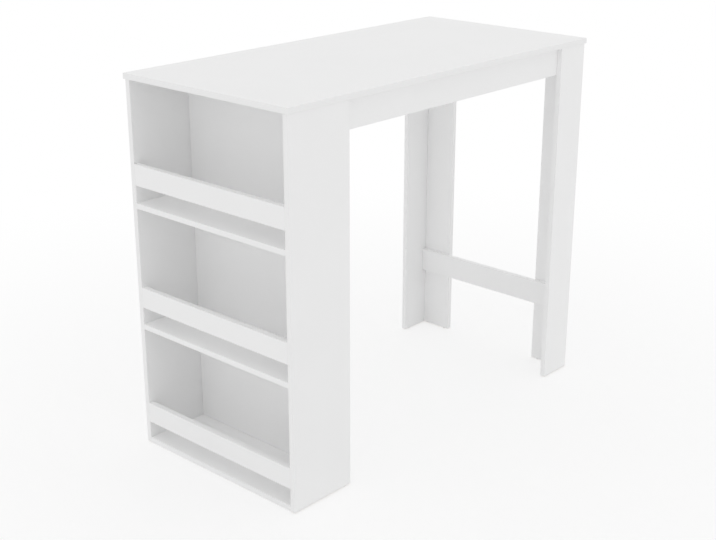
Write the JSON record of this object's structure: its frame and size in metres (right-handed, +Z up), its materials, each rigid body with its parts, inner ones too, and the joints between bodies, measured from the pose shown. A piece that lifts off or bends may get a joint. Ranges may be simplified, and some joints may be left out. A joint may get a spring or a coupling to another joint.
{
  "type": "bar table with shelves",
  "caption": "White board bar table: a rectangular top on an open shelf unit with retaining rails at one end and L-shaped legs with a foot stretcher at the other.",
  "frame": {"origin": "on the floor under the middle of the table top", "axes": "+X along the table from the shelf unit to the legs, +Y to the rear, +Z up"},
  "size_m": [1.2, 0.58, 1.025],
  "materials": {
    "white_board": "white melamine-faced chipboard with white edge bands, satin",
    "beech_dowel": "bare beech",
    "zinc_cam": "die-cast zinc",
    "plated_steel": "zinc-plated steel",
    "white_plastic": "white moulded polyethylene"
  },
  "bodies": {
    "root": {"table_top": "white_board", "front_side_panel": "white_board", "rear_side_panel": "white_board", "unit_back_panel": "white_board", "lower_shelf": "white_board", "middle_shelf": "white_board", "upper_shelf": "white_board", "lower_rail": "white_board", "middle_rail": "white_board", "upper_rail": "white_board", "front_apron": "white_board", "rear_apron": "white_board", "front_leg_face_board": "white_board", "front_leg_end_board": "white_board", "rear_leg_face_board": "white_board", "rear_leg_end_board": "white_board", "foot_stretcher": "white_board", "shelf_dowels": "beech_dowel", "rail_dowels": "beech_dowel", "back_panel_dowels": "beech_dowel", "top_dowels": "beech_dowel", "apron_dowels": "beech_dowel", "leg_dowels": "beech_dowel", "stretcher_dowels": "beech_dowel", "shelf_cam_discs": "zinc_cam", "top_cam_discs": "zinc_cam", "shelf_cam_bolts": "plated_steel", "top_cam_bolts": "plated_steel", "apron_screws": "plated_steel", "floor_glides": "white_plastic"}
  },
  "joints": []
}
